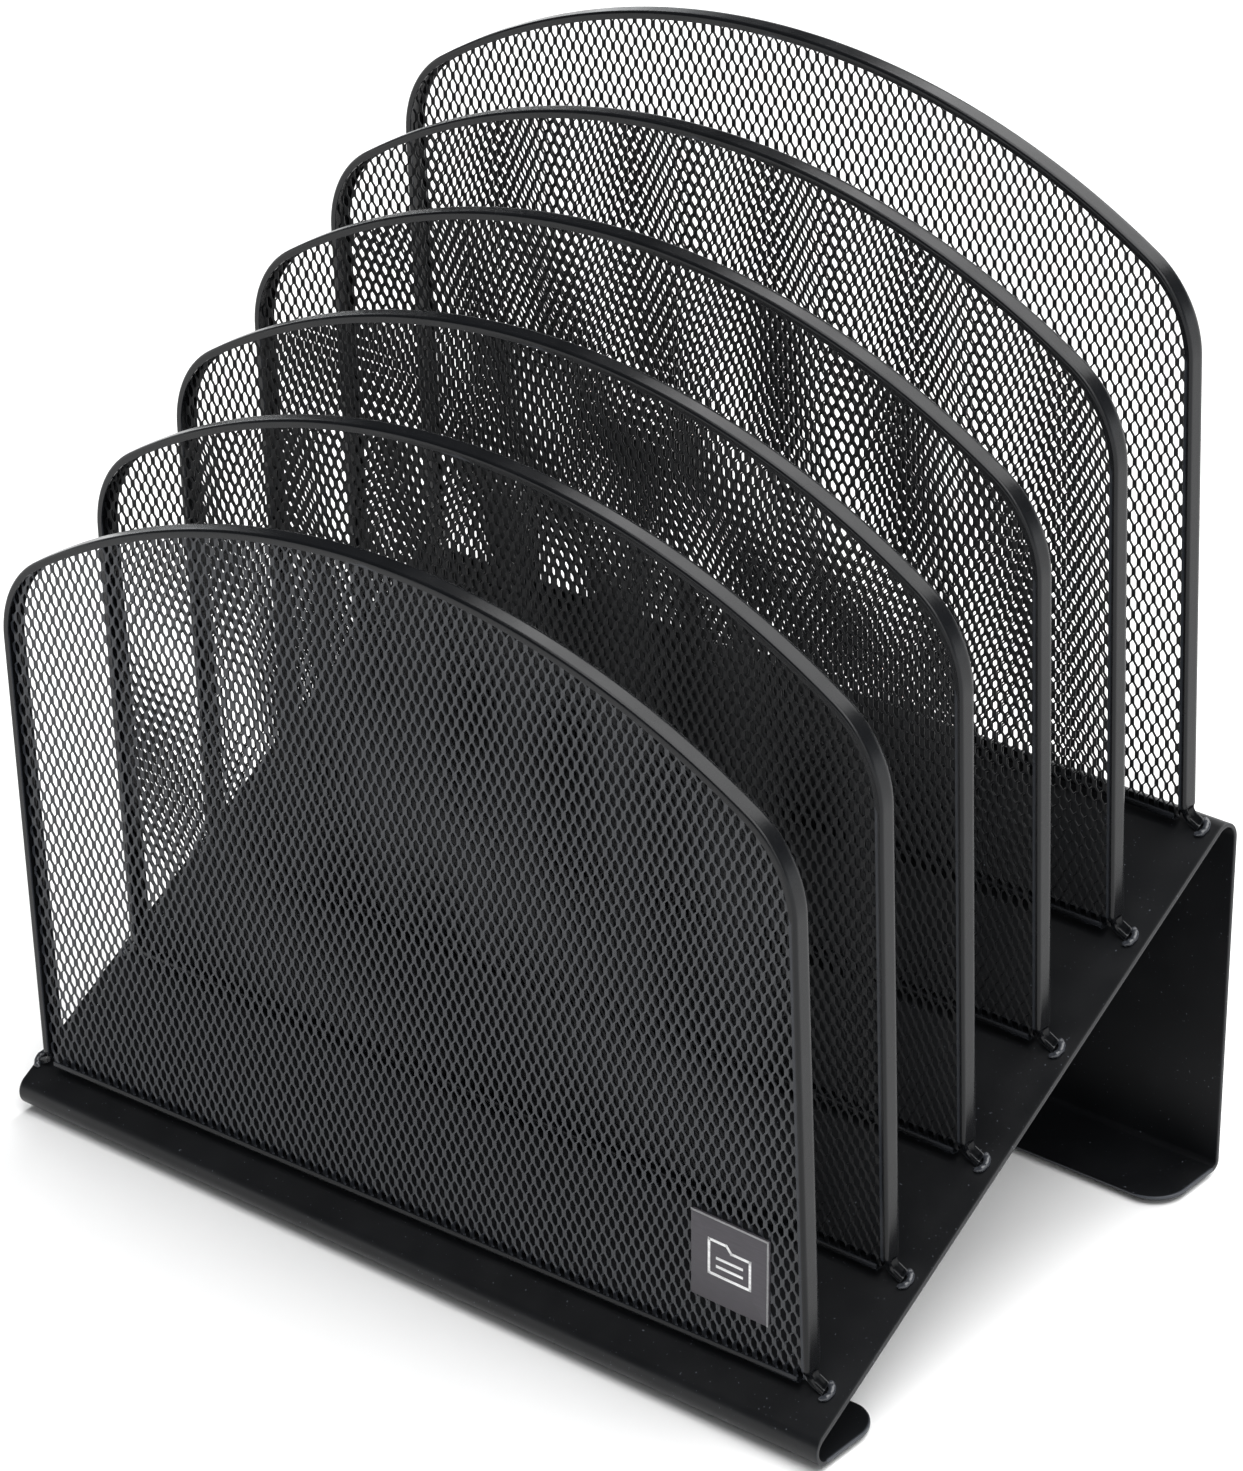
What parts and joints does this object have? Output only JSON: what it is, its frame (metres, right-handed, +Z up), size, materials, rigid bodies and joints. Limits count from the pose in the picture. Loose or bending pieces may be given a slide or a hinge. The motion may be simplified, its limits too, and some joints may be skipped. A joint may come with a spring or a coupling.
{
  "type": "desktop file sorter",
  "caption": "Desktop file sorter: a bent sheet-steel base with a sloping deck and upright arched expanded-mesh dividers in channel rims.",
  "frame": {"origin": "on the desk surface, at the centre of the footprint", "axes": "+X to the right seen from the front, across the dividers' width; +Y from the low front nose to the high rear leg; +Z up"},
  "size_m": [0.286, 0.183, 0.3033],
  "materials": {
    "black_steel": "satin black powder coat",
    "mesh_steel": "satin black powder coat on expanded metal",
    "weld_steel": "powder coat over rough weld metal",
    "label": null,
    "pad_rubber": "matt black"
  },
  "bodies": {
    "root": {"base_plate": "black_steel", "divider_1_rim": "black_steel", "divider_1_mesh_panel": "mesh_steel", "divider_1_bottom_strip": "black_steel", "divider_1_weld_left": "weld_steel", "divider_1_weld_right": "weld_steel", "divider_2_rim": "black_steel", "divider_2_mesh_panel": "mesh_steel", "divider_2_bottom_strip": "black_steel", "divider_2_weld_left": "weld_steel", "divider_2_weld_right": "weld_steel", "divider_3_rim": "black_steel", "divider_3_mesh_panel": "mesh_steel", "divider_3_bottom_strip": "black_steel", "divider_3_weld_left": "weld_steel", "divider_3_weld_right": "weld_steel", "divider_4_rim": "black_steel", "divider_4_mesh_panel": "mesh_steel", "divider_4_bottom_strip": "black_steel", "divider_4_weld_left": "weld_steel", "divider_4_weld_right": "weld_steel", "divider_5_rim": "black_steel", "divider_5_mesh_panel": "mesh_steel", "divider_5_bottom_strip": "black_steel", "divider_5_weld_left": "weld_steel", "divider_5_weld_right": "weld_steel", "divider_6_rim": "black_steel", "divider_6_mesh_panel": "mesh_steel", "divider_6_bottom_strip": "black_steel", "divider_6_weld_left": "weld_steel", "divider_6_weld_right": "weld_steel", "label_plate": "label", "foot_pad_front_left": "pad_rubber", "foot_pad_front_right": "pad_rubber", "foot_pad_rear_left": "pad_rubber", "foot_pad_rear_right": "pad_rubber"}
  },
  "joints": []
}
